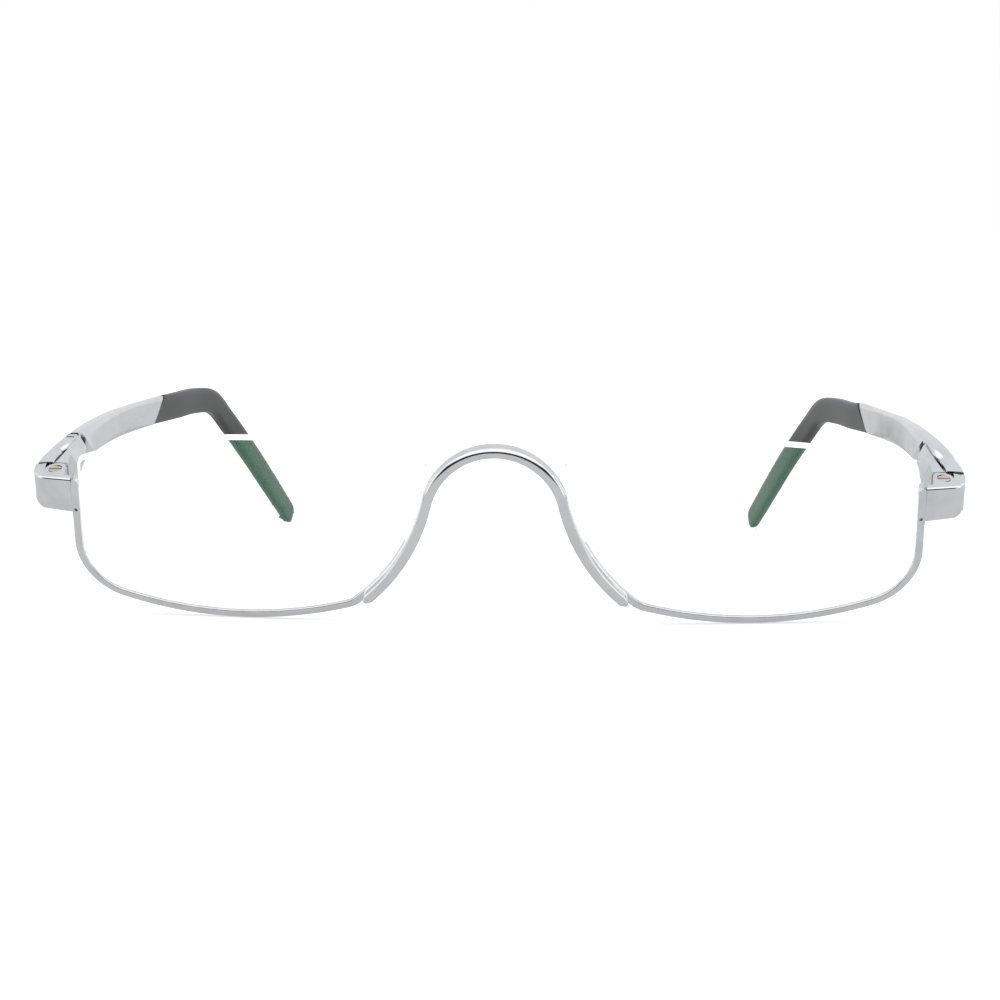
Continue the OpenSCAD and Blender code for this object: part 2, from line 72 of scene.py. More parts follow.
@dataclass(frozen=True)
class Front:
    """Sizes of the front in its own plane, in millimetres: u across, v backwards, w up.

    The plane's top leans forward by lean degrees; mid_y and rise take it to the row frame. The lenses lie on a
    sphere with the radius face_r that touches v 0 at face_u and face_w. The rim's inner side is seat away from
    the lens edge, hinge is the middle of the right hinge, and the end pieces reach from end_low to end_top in w.
    """

    lean: float = 25.0
    mid_y: float = 61.0195
    rise: float = -0.75425
    face_r: float = 130.0
    face_u: float = 18.0
    face_w: float = 15.0
    lens_t: float = 1.15
    line_t: float = 0.45
    rim_w: float = 1.2
    rim_d: float = 2.0
    seat: float = 0.04
    hinge: tuple[float, float, float] = (65.7423, 10.81036, 17.45)
    end_low: float = 14.575
    end_top: float = 20.325

    def place(self, u: float, v: float, w: float) -> Vector:
        """Turns a place on the front into the row frame, in metres."""
        c, s = math.cos(math.radians(self.lean)), math.sin(math.radians(self.lean))
        return Vector((u, v * c - w * s - self.mid_y, v * s + w * c + self.rise)) * MM

    def local(self, point: Vector) -> Vector:
        """Turns a place in the row frame into one on the front.

        Args:
            point: the place, in metres.

        Returns:
            Its u, v and w, in millimetres.
        """
        c, s = math.cos(math.radians(self.lean)), math.sin(math.radians(self.lean))
        x, y, z = point.x / MM, point.y / MM + self.mid_y, point.z / MM - self.rise
        return Vector((x, y * c + z * s, z * c - y * s))

    def face(self, u: float, w: float, off: float = 0.0) -> float:
        """Depth of the lens sphere at a place, off millimetres behind it."""
        inside = (self.face_r - off) ** 2 - (u - self.face_u) ** 2 - (w - self.face_w) ** 2
        return self.face_r - math.sqrt(inside)


Pair = tuple[float, float]
Spot = tuple[float, float, float, float]


@dataclass
class Outline:
    """The edge of a lens as spots: u, w and the outward direction at each.

    Long arcs about low, leg and top make its lower edge, its side along the bridge and its upper edge. Small
    arcs join them at the nose, at the upper inner corner and at the two outer corners.
    """

    step: float = 0.45
    low: Pair = (43.1523, 72.94)
    low_r: float = 71.7
    leg: Pair = (42.9523, 29.7354)
    leg_r: float = 33.1
    top: Pair = (31.5023, -35.4)
    top_r: float = 66.3
    outer: float = 61.7523
    corner_r: float = 7.2
    nose_r: float = 2.8
    inner_r: float = 0.8
    outer_r: float = 1.6
    spots: list[Spot] = field(default_factory=list)

    def __post_init__(self) -> None:
        """Finds the centres of the small arcs and lists the spots."""
        u = self.outer - self.corner_r
        low_w = self.low[1] - math.sqrt((self.low_r - self.corner_r) ** 2 - (u - self.low[0]) ** 2)
        corner = (u, low_w)
        nose = self.between(self.low, self.low_r - self.nose_r, self.leg, self.leg_r - self.nose_r)
        inner = self.between(self.leg, self.leg_r - self.inner_r, self.top, self.top_r - self.inner_r)
        u = self.outer - self.outer_r
        out = (u, self.top[1] + math.sqrt((self.top_r - self.outer_r) ** 2 - (u - self.top[0]) ** 2))
        turns = [self.angle(self.low, corner), self.angle(self.low, nose), self.angle(self.leg, nose),
                 self.angle(self.leg, inner), self.angle(self.top, inner), self.angle(self.top, out)]
        self.line((self.outer, out[1]), (self.outer, corner[1]))
        self.arc(corner, self.corner_r, 0.0, turns[0])
        self.arc(self.low, self.low_r, turns[0], turns[1])
        self.arc(nose, self.nose_r, turns[1], turns[2])
        self.arc(self.leg, self.leg_r, turns[2], turns[3])
        self.arc(inner, self.inner_r, turns[3], turns[4])
        self.arc(self.top, self.top_r, turns[4], turns[5])
        self.arc(out, self.outer_r, turns[5], -2 * math.pi)

    @staticmethod
    def angle(centre: Pair, point: Pair) -> float:
        """Direction from a centre to a point, between minus a full turn and 0."""
        a = math.atan2(point[1] - centre[1], point[0] - centre[0])
        return a - 2 * math.pi if a > 0 else a

    @staticmethod
    def between(a: Pair, ra: float, b: Pair, rb: float) -> Pair:
        """Where two circles meet, on the side of the nose.

        Args:
            a: first centre.
            ra: first radius.
            b: second centre.
            rb: second radius.

        Returns:
            The place.
        """
        du, dw = b[0] - a[0], b[1] - a[1]
        d = math.hypot(du, dw)
        k = (ra * ra - rb * rb + d * d) / (2 * d)
        h = math.sqrt(ra * ra - k * k)
        return a[0] + (k * du + h * dw) / d, a[1] + (k * dw - h * du) / d

    def arc(self, centre: Pair, radius: float, start: float, end: float) -> None:
        """Adds the spots of one arc, without its last.

        Args:
            centre: u and w of its centre.
            radius: its radius.
            start: direction of its first spot, in radians.
            end: direction of its last.
        """
        count = max(4, math.ceil(abs(end - start) * radius / self.step))
        for i in range(count):
            a = start + (end - start) * i / count
            c, s = math.cos(a), math.sin(a)
            self.spots.append((centre[0] + radius * c, centre[1] + radius * s, c, s))

    def line(self, start: Pair, end: Pair) -> None:
        """Adds the spots of the straight outer side, without its last.

        Args:
            start: u and w of its first spot.
            end: u and w of its last.
        """
        count = math.ceil(abs(end[1] - start[1]) / self.step)
        for i in range(count):
            self.spots.append((start[0], start[1] + (end[1] - start[1]) * i / count, 1.0, 0.0))


def rounded(low: Pair, high: Pair, radius: float, crown: float = 0.0, steps: int = 6) -> list[Pair]:
    """An oblong with round corners.

    Args:
        low: its lowest corner.
        high: its highest corner.
        radius: radius of the corners.
        crown: radius of the outer front corner, where it is larger.
        steps: segments in each corner.

    Returns:
        Its points in order.
    """
    points = []
    corners = ((high[0], high[1]), (low[0], high[1]), (low[0], low[1]), (high[0], low[1]))
    for k, (a, b) in enumerate(corners):
        r = max(radius, crown) if k == 3 else radius
        ca = a - r if a == high[0] else a + r
        cb = b - r if b == high[1] else b + r
        for i in range(steps + 1):
            t = math.radians(90 * (k + i / steps))
            points.append((ca + r * math.cos(t), cb + r * math.sin(t)))
    return points


def skin(name: str, rows: list[list[Vector]], side: Side, closed: bool = False) -> bpy.types.Object:
    """Makes a piece from rows of points around it.

    Args:
        name: name of the piece.
        rows: the rows, each with the same number of points, for the right half.
        side: which half it is for.
        closed: joins the last row to the first instead of capping both.

    Returns:
        The new object.
    """
    count = len(rows[0])
    flip = Vector((side.sign, 1, 1))
    points = [p * flip for row in rows for p in row]
    faces = []
    for i in range(len(rows) if closed else len(rows) - 1):
        for j in range(count):
            a, b = i * count + j, i * count + (j + 1) % count
            c, d = ((i + 1) % len(rows)) * count + j, ((i + 1) % len(rows)) * count + (j + 1) % count
            faces.append((a, b, d, c))
    if not closed:
        faces.append(tuple(range(count - 1, -1, -1)))
        faces.append(tuple(range((len(rows) - 1) * count, len(rows) * count)))
    mesh = bpy.data.meshes.new(name)
    mesh.from_pydata(points, [], faces)
    work = bmesh.new()
    work.from_mesh(mesh)
    bmesh.ops.recalc_face_normals(work, faces=work.faces)
    work.to_mesh(mesh)
    work.free()
    piece = bpy.data.objects.new(name, mesh)
    bpy.context.scene.collection.objects.link(piece)
    return piece


def carve(piece: bpy.types.Object, cutters: list[bpy.types.Object]) -> None:
    """Takes the cutters out of a piece for good and removes them.

    Args:
        piece: what is cut.
        cutters: what is taken out of it.
    """
    for cutter in cutters:
        cut = piece.modifiers.new("cut", "BOOLEAN")
        cut.operation, cut.solver, cut.object = "DIFFERENCE", "EXACT", cutter
    graph = bpy.context.evaluated_depsgraph_get()
    done = bpy.data.meshes.new_from_object(piece.evaluated_get(graph))
    piece.modifiers.clear()
    piece.data = done
    for cutter in cutters:
        bpy.data.objects.remove(cutter)


def smooth(piece: bpy.types.Object, angle: float) -> None:
    """Shades a piece smoothly but for its sharp edges.

    Args:
        piece: what is shaded.
        angle: the least angle of a sharp edge, in degrees.
    """
    piece.data.shade_smooth()
    piece.data.set_sharp_from_angle(angle=math.radians(angle))
    piece.modifiers.new("even", "WEIGHTED_NORMAL").keep_sharp = True


@dataclass(frozen=True)
class BridgeShape:
    """The bridge: one bent ribbon with round edges.

    Its middle line is an arc over the nose and one in each leg. The ribbon is half wide each way, slimmer over
    the nose, and narrows at its two ends to the shares in ends. From the side it bows with the radius bow_r.
    """

    front: Front
    arch: Pair = (0.0, 19.74)
    arch_r: float = 10.2
    sweep: float = 76.9
    arch_steps: int = 40
    leg_r: float = 33.9
    leg_sweep: float = 32.6
    leg_steps: int = 60
    ends: tuple[float, ...] = (0.35, 0.7, 0.92)
    half: float = 0.775
    slimmer: float = 0.115
    depth: float = 2.0
    bow_v: float = -2.9198
    bow_r: float = 72.0
    bow_w: float = 12.4
    edge: float = 0.22
    crown: float = 0.8
    sharp: float = 50.0

    def spots(self) -> list[Spot]:
        """Middle line of the right half, from the arch to the end of the leg.

        Returns:
            Its spots in order.
        """
        found = []
        for i in range(self.arch_steps + 1):
            a = math.radians(90 - self.sweep * i / self.arch_steps)
            c, s = math.cos(a), math.sin(a)
            found.append((self.arch[0] + self.arch_r * c, self.arch[1] + self.arch_r * s, c, s))
        a = math.radians(90 - self.sweep)
        reach = self.arch_r + self.leg_r
        leg = (self.arch[0] + reach * math.cos(a), self.arch[1] + reach * math.sin(a))
        for i in range(1, self.leg_steps + 1):
            a = math.radians(-90 - self.sweep + self.leg_sweep * i / self.leg_steps)
            c, s = math.cos(a), math.sin(a)
            found.append((leg[0] + self.leg_r * c, leg[1] + self.leg_r * s, -c, -s))
        return found

    def row(self, spot: Spot, half: float, sign: int) -> list[Vector]:
        """The section at one spot.

        Args:
            spot: where, and which way is outwards.
            half: half the ribbon's width there.
            sign: -1 for the left half, 1 for the right.

        Returns:
            Its points.
        """
        u, w, du, dw = spot
        points = []
        edge, crown = min(self.edge, half * ROUNDEST), min(self.crown, half)
        for a, b in rounded((-half, 0.0), (half, self.depth), edge, crown):
            at_w = w + a * dw
            v = self.bow_v + self.bow_r - math.sqrt(self.bow_r**2 - (at_w - self.bow_w) ** 2) + b
            points.append(self.front.place(sign * (u + a * du), v, at_w))
        return points

    def build(self) -> bpy.types.Object:
        """Makes the ribbon, a little slimmer over the nose and narrower at its two ends.

        Returns:
            The new object.
        """
        spots = self.spots()
        count = len(spots)
        halves = [self.half - self.slimmer * max(0.0, 1 - i / self.arch_steps) for i in range(count)]
        spots = [(u - (self.half - h) * du, w - (self.half - h) * dw, du, dw)
                 for (u, w, du, dw), h in zip(spots, halves)]
        for k, share in enumerate(self.ends):
            halves[count - 1 - k] = self.half * share
        right = [self.row(s, h, 1) for s, h in zip(spots, halves)]
        left = [self.row(s, h, -1) for s, h in zip(spots[:0:-1], halves[:0:-1])]
        piece = skin("bridge_ribbon", left + right, Side.RIGHT)
        smooth(piece, self.sharp)
        return piece


@dataclass(frozen=True)
class RimShape:
    """One rim: a wire along the lower edge of the lens, with round edges.

    It starts below_top under the upper side of the end piece, where it is rounded off, and ends at the height
    inner_end along the bridge. Beside the end piece, and flat_past below it, its edges are nearly sharp.
    """

    front: Front
    inner_end: float = 14.7
    inner_u: float = 20.0
    outer_u: float = 50.0
    below_top: float = 0.02
    flat_past: float = 0.4
    thinnest: float = 0.05
    edge: float = 0.26
    outer_edge: float = 0.03
    hole: Pair = (62.392, 15.275)
    hole_r: float = 0.25
    hole_steps: int = 24
    hole_ends: Pair = (-2.0, 0.2)
    sharp: float = 35.0

    def build(self, outline: Outline, side: Side) -> bpy.types.Object:
        """Makes the wire, from the top of the end piece to the leg of the bridge.

        Args:
            outline: the lens edge.
            side: which rim.

        Returns:
            The new object.
        """
        front = self.front
        start = next(i for i, s in enumerate(outline.spots) if s[1] <= front.end_top)
        spots = outline.spots[start:]
        end = next(i for i, s in enumerate(spots) if s[0] < self.inner_u and s[1] >= self.inner_end)
        spots = [(spots[0][0], front.end_top - self.below_top, 1.0, 0.0)] + spots[:end]
        middle = front.seat + front.rim_w / 2
        rows = []
        for u, w, du, dw in spots:
            below = (front.end_top - w) / (front.rim_w / 2)
            rounds = below < 1 and u > self.outer_u
            half = front.rim_w / 2 * (math.sqrt(max(self.thinnest, 1 - (1 - below) ** 2)) if rounds else 1.0)
            edge = self.outer_edge if u > self.outer_u and w > front.end_low - self.flat_past else self.edge
            radius = min(edge, half * ROUNDEST)
            row = []
            for a, b in rounded((-half, -front.rim_d / 2), (half, front.rim_d / 2), radius):
                at_u, at_w = u + (middle + a) * du, w + (middle + a) * dw
                row.append(front.place(at_u, front.face(at_u, at_w, b), at_w))
            rows.append(row)
        piece = skin(f"rim_wire_{side.value}", rows, side)
        carve(piece, [self.drill(side)])
        smooth(piece, self.sharp)
        return piece

    def drill(self, side: Side) -> bpy.types.Object:
        """The round cutter for the hole that the clear line goes into.

        Args:
            side: which rim.

        Returns:
            The cutter.
        """
        turns = [2 * math.pi * i / self.hole_steps for i in range(self.hole_steps)]
        u, w = self.hole
        depth = self.front.face(u, w)
        rows = [[self.front.place(u + self.hole_r * math.cos(t), depth + v, w + self.hole_r * math.sin(t))
                 for t in turns] for v in self.hole_ends]
        return skin("cutter", rows, side)


class Surface(Enum):
    """Surfaces of a lens, each with its share of the lens's thickness behind the middle."""

    FRONT = -0.5
    MIDDLE = 0.0
    BACK = 0.5


@dataclass(frozen=True)
class LensShape:
    """One lens: two spheres, a ground edge with small chamfers and the groove round it."""

    front: Front
    centre: Pair = (36.5, 16.0)
    chamfer: float = 0.12
    rings: int = 14
    smallest: float = 0.02
    sharp: float = 40.0

    def build(self, outline: Outline, side: Side) -> bpy.types.Object:
        """Makes the piece; its faces round the edge use the second material.

        Args:
            outline: the lens edge.
            side: which lens.

        Returns:
            The new object.
        """
        front, half, chamfer = self.front, self.front.line_t / 2, self.chamfer
        ground = [(1.0, -chamfer, Surface.FRONT, 0.0), (1.0, 0.0, Surface.FRONT, chamfer),
                  (1.0, 0.0, Surface.MIDDLE, -half), (1.0, -2 * half, Surface.MIDDLE, -half),
                  (1.0, -2 * half, Surface.MIDDLE, half), (1.0, 0.0, Surface.MIDDLE, half),
                  (1.0, 0.0, Surface.BACK, -chamfer), (1.0, -chamfer, Surface.BACK, 0.0)]
        shares = [math.sin(k / self.rings * math.pi / 2) for k in range(self.rings)]
        steps = [(share, -chamfer, Surface.FRONT, 0.0) for share in shares] + ground
        steps += [(share, -chamfer, Surface.BACK, 0.0) for share in reversed(shares)]
        rows = []
        for share, out, surface, off in steps:
            share = max(share, self.smallest)
            row = []
            for u, w, du, dw in outline.spots:
                at_u = self.centre[0] + (u + out * du - self.centre[0]) * share
                at_w = self.centre[1] + (w + out * dw - self.centre[1]) * share
                v = front.face(at_u, at_w, surface.value * front.lens_t) + off
                row.append(front.place(at_u, v, at_w))
            rows.append(row)
        piece = skin(f"lens_body_{side.value}", rows, side)
        count = len(outline.spots)
        for face in piece.data.polygons[self.rings * count:(self.rings + len(ground) - 1) * count]:
            face.material_index = 1
        smooth(piece, self.sharp)
        return piece


class Graph:
    """Short hand for placing and linking shader nodes in one tree."""

    def __init__(self, tree: Tree) -> None:
        """Starts on an empty tree.

        Args:
            tree: the node tree to fill.
        """
        self.tree = tree
        tree.nodes.clear()

    def add(self, kind: str, **values: object) -> bpy.types.Node:
        """Adds one node and sets its properties.

        Args:
            kind: the node's type name without its ShaderNode prefix.
            values: property names and values.

        Returns:
            The new node.
        """
        node = self.tree.nodes.new(kind if kind.startswith("Node") else "ShaderNode" + kind)
        for name, value in values.items():
            setattr(node, name, value)
        return node

    def link(self, out: Socket, into: Socket) -> None:
        """Links an output to an input."""
        self.tree.links.new(out, into)

    def math(self, operation: str, a: Socket | float, b: Socket | float = 0.0, clamp: bool = False) -> Socket:
        """Adds a Math node.

        Args:
            operation: the node's operation.
            a: first value or socket.
            b: second value or socket.
            clamp: limits the result to 0 to 1.

        Returns:
            The node's output.
        """
        node = self.add("Math", operation=operation, use_clamp=clamp)
        for socket, value in zip(node.inputs, (a, b)):
            if isinstance(value, (int, float)):
                socket.default_value = value
            else:
                self.link(value, socket)
        return node.outputs[0]

    def span(self, value: Socket, low: float, high: float, to_low: float = 0.0,
             to_high: float = 1.0) -> Socket:
        """Maps a value from one range onto another with clamping.

        Args:
            value: the socket to map.
            low: start of the range read.
            high: end of the range read.
            to_low: start of the range given.
            to_high: end of the range given.

        Returns:
            The mapped socket.
        """
        node = self.add("MapRange", interpolation_type="SMOOTHSTEP")
        self.link(value, node.inputs["Value"])
        for name, number in (("From Min", low), ("From Max", high), ("To Min", to_low), ("To Max", to_high)):
            node.inputs[name].default_value = number
        return node.outputs["Result"]


class Effect(Enum):
    """Shader node groups that several finishes share."""

    HANDLING = "handling"
    GRAIN = "fine_grain"


def group_socket(tree: Tree, name: str, kind: str, direction: str, value: float | None = None) -> None:
    """Adds one named socket to a node group.

    Args:
        tree: the group.
        name: the socket's name.
        kind: Float, Vector or Color.
        direction: INPUT or OUTPUT.
        value: default for a Float input.
    """
    socket = tree.interface.new_socket(name=name, in_out=direction, socket_type="NodeSocket" + kind)
    if value is not None:
        socket.default_value = value


def handling_group() -> Tree:
    """Soft smudges and faint hairlines, as on polished metal that is handled.

    Returns:
        A group with inputs Smudge Size and Line Size and outputs Smudge, Lines and Height.
    """
    tree = bpy.data.node_groups.new(Effect.HANDLING.value, "ShaderNodeTree")
    group_socket(tree, "Smudge Size", "Float", "INPUT", 260.0)
    group_socket(tree, "Line Size", "Float", "INPUT", 3000.0)
    for name in ("Smudge", "Lines", "Height"):
        group_socket(tree, name, "Float", "OUTPUT")
    graph = Graph(tree)
    given, result = graph.add("NodeGroupInput"), graph.add("NodeGroupOutput")
    place = graph.add("TexCoord").outputs["Object"]
    smudge = graph.add("TexNoise")
    smudge.inputs["Detail"].default_value = 4.0
    smudge.inputs["Roughness"].default_value = 0.6
    graph.link(place, smudge.inputs["Vector"])
    graph.link(given.outputs["Smudge Size"], smudge.inputs["Scale"])
    stretched = graph.add("Mapping")
    stretched.inputs["Scale"].default_value = (0.18, 0.05, 1.0)
    graph.link(place, stretched.inputs["Vector"])
    lines = graph.add("TexNoise")
    lines.inputs["Detail"].default_value = 3.0
    graph.link(stretched.outputs[0], lines.inputs["Vector"])
    graph.link(given.outputs["Line Size"], lines.inputs["Scale"])
    soft = graph.span(smudge.outputs[0], 0.35, 0.7)
    thin = graph.span(lines.outputs[0], 0.4, 0.75)
    height = graph.math("ADD", graph.math("MULTIPLY", soft, 0.6), graph.math("MULTIPLY", thin, 0.4))
    graph.link(soft, result.inputs["Smudge"])
    graph.link(thin, result.inputs["Lines"])
    graph.link(height, result.inputs["Height"])
    return tree


def grain_group() -> Tree:
    """Fine mottling and specks of moulded or tumbled plastic.

    Returns:
        A group with input Size and outputs Mottle, Specks and Height.
    """
    tree = bpy.data.node_groups.new(Effect.GRAIN.value, "ShaderNodeTree")
    group_socket(tree, "Size", "Float", "INPUT", 900.0)
    for name in ("Mottle", "Specks", "Height"):
        group_socket(tree, name, "Float", "OUTPUT")
    graph = Graph(tree)
    given, result = graph.add("NodeGroupInput"), graph.add("NodeGroupOutput")
    place = graph.add("TexCoord").outputs["Object"]
    mottle = graph.add("TexNoise")
    mottle.inputs["Detail"].default_value = 5.0
    graph.link(place, mottle.inputs["Vector"])
    graph.link(given.outputs["Size"], mottle.inputs["Scale"])
    cells = graph.add("TexVoronoi")
    graph.link(place, cells.inputs["Vector"])
    graph.link(graph.math("MULTIPLY", given.outputs["Size"], 3.0), cells.inputs["Scale"])
    specks = graph.span(cells.outputs["Distance"], 0.0, 0.22, 1.0, 0.0)
    height = graph.math("ADD", mottle.outputs[0], graph.math("MULTIPLY", specks, 0.3))
    graph.link(mottle.outputs[0], result.inputs["Mottle"])
    graph.link(specks, result.inputs["Specks"])
    graph.link(height, result.inputs["Height"])
    return tree


def place_group(graph: Graph, effect: Effect, **values: float) -> bpy.types.Node:
    """Places a shared effect in a material.

    Args:
        graph: the material's graph.
        effect: which group.
        values: the group's inputs by name, with _ for a space.

    Returns:
        The group node.
    """
    node = graph.add("Group")
    node.node_tree = bpy.data.node_groups[effect.value]
    for name, value in values.items():
        node.inputs[name.replace("_", " ").title()].default_value = value
    return node


def new_material(name: str) -> tuple[bpy.types.Material, Graph, bpy.types.Node]:
    """Makes a material with a Principled shader on its output.

    Args:
        name: the material's name.

    Returns:
        The material, its graph and its Principled node.
    """
    material = bpy.data.materials.new(name)
    material.use_nodes = True
    graph = Graph(material.node_tree)
    shader = graph.add("BsdfPrincipled")
    output = graph.add("OutputMaterial")
    graph.link(shader.outputs[0], output.inputs[0])
    return material, graph, shader


def mix_colours(graph: Graph, share: Socket, a: tuple, b: tuple) -> Socket:
    """Mixes two colours by a mask.

    Args:
        graph: the material's graph.
        share: 0 gives a, 1 gives b.
        a: first colour.
        b: second colour.

    Returns:
        The mixed colour.
    """
    node = graph.add("Mix", data_type="RGBA")
    graph.link(share, node.inputs["Factor"])
    node.inputs[6].default_value = (*a, 1.0)
    node.inputs[7].default_value = (*b, 1.0)
    return node.outputs[2]


def bump(graph: Graph, height: Socket, strength: float, depth: float) -> Socket:
    """Turns a height into a normal.

    Args:
        graph: the material's graph.
        height: the height mask.
        strength: how much of it is used.
        depth: the height's size in metres.

    Returns:
        The normal.
    """
    node = graph.add("Bump")
    node.inputs["Strength"].default_value = strength
    node.inputs["Distance"].default_value = depth
    graph.link(height, node.inputs["Height"])
    return node.outputs[0]


@dataclass(frozen=True)
class MetalFinish:
    """A polished or plated metal with faint smudges and hairlines."""

    name: str
    colour: tuple[float, float, float]
    smudged: tuple[float, float, float]
    roughness: float = 0.09
    rougher: float = 0.06
    smudge_size: float = 260.0
    line_size: float = 3000.0
    relief: float = 0.5
    depth: float = 2e-6

    def make(self) -> bpy.types.Material:
        """Builds the material.

        Returns:
            The new material.
        """
        material, graph, shader = new_material(self.name)
        marks = place_group(graph, Effect.HANDLING, smudge_size=self.smudge_size, line_size=self.line_size)
        shader.inputs["Metallic"].default_value = 1.0
        colour = mix_colours(graph, marks.outputs["Smudge"], self.colour, self.smudged)
        graph.link(colour, shader.inputs["Base Color"])
        spread = graph.math("MULTIPLY", marks.outputs["Lines"], self.rougher)
        graph.link(graph.math("ADD", spread, self.roughness), shader.inputs["Roughness"])
        normal = bump(graph, marks.outputs["Height"], self.relief, self.depth)
        graph.link(normal, shader.inputs["Normal"])
        return material


@dataclass(frozen=True)
class PlasticFinish:
    """A solid plastic with fine mottling."""

    name: str
    colour: tuple[float, float, float]
    lighter: tuple[float, float, float]
    roughness: float = 0.33
    rougher: float = 0.12
    size: float = 900.0
    relief: float = 0.25
    depth: float = 8e-6
    coat: float = 0.15
    coat_roughness: float = 0.2

    def make(self) -> bpy.types.Material:
        """Builds the material.

        Returns:
            The new material.
        """
        material, graph, shader = new_material(self.name)
        grain = place_group(graph, Effect.GRAIN, size=self.size)
        colour = mix_colours(graph, grain.outputs["Mottle"], self.colour, self.lighter)
        graph.link(colour, shader.inputs["Base Color"])
        rough = graph.math("MULTIPLY_ADD", grain.outputs["Specks"], self.rougher)
        rough.node.inputs[2].default_value = self.roughness
        graph.link(rough, shader.inputs["Roughness"])
        shader.inputs["Coat Weight"].default_value = self.coat
        shader.inputs["Coat Roughness"].default_value = self.coat_roughness
        graph.link(bump(graph, grain.outputs["Height"], self.relief, self.depth), shader.inputs["Normal"])
        return material


@dataclass(frozen=True)
class ClearFinish:
    """Clear resin whose coating keeps a coloured reflection."""

    name: str
    colour: tuple[float, float, float] = (0.985, 0.99, 0.985)
    shaded: tuple[float, float, float] = (0.975, 0.985, 0.978)
    coating: tuple[float, float, float] = (0.12, 1.0, 0.44)
    ior: float = 1.6
    size: float = 120.0

    def make(self) -> bpy.types.Material:
        """Builds the material, which lets lamps shine through it.

        Returns:
            The new material.
        """
        material, graph, shader = new_material(self.name)
        grain = place_group(graph, Effect.GRAIN, size=self.size)
        colour = mix_colours(graph, grain.outputs["Mottle"], self.colour, self.shaded)
        graph.link(colour, shader.inputs["Base Color"])
        shader.inputs["Transmission Weight"].default_value = 1.0
        shader.inputs["IOR"].default_value = self.ior
        shader.inputs["Specular Tint"].default_value = (*self.coating, 1.0)
        shader.inputs["Roughness"].default_value = 0.0
        clear = graph.add("BsdfTransparent")
        paths = graph.add("LightPath")
        mixed = graph.add("MixShader")
        output = next(n for n in graph.tree.nodes if n.type == "OUTPUT_MATERIAL")
        graph.link(paths.outputs["Is Shadow Ray"], mixed.inputs[0])
        graph.link(shader.outputs[0], mixed.inputs[1])
        graph.link(clear.outputs[0], mixed.inputs[2])
        graph.link(mixed.outputs[0], output.inputs[0])
        return material


@dataclass(frozen=True)
class GroundGlowFinish:
    """The ground edge of a lens: white and matt, with a painted glow, an emission that keeps it bright where it
    lies in shade.
    """

    name: str
    colour: tuple[float, float, float] = (0.96, 0.965, 0.96)
    shaded: tuple[float, float, float] = (0.9, 0.91, 0.9)
    light: tuple[float, float, float] = (1.0, 1.0, 0.99)
    # Painted glow: emission strength that makes the edge look white however it is lit.
    painted_glow: float = 0.45
    roughness: float = 0.8
    size: float = 2500.0
    relief: float = 0.05
    depth: float = 4e-6

    def make(self) -> bpy.types.Material:
        """Builds the material.

        Returns:
            The new material.
        """
        material, graph, shader = new_material(self.name)
        grain = place_group(graph, Effect.GRAIN, size=self.size)
        colour = mix_colours(graph, grain.outputs["Mottle"], self.colour, self.shaded)
        graph.link(colour, shader.inputs["Base Color"])
        shader.inputs["Roughness"].default_value = self.roughness
        # Painted glow: the edge emits light, so it stays white over dark parts and in shade.
        shader.inputs["Emission Color"].default_value = (*self.light, 1.0)
        shader.inputs["Emission Strength"].default_value = self.painted_glow
        graph.link(bump(graph, grain.outputs["Height"], self.relief, self.depth), shader.inputs["Normal"])
        return material


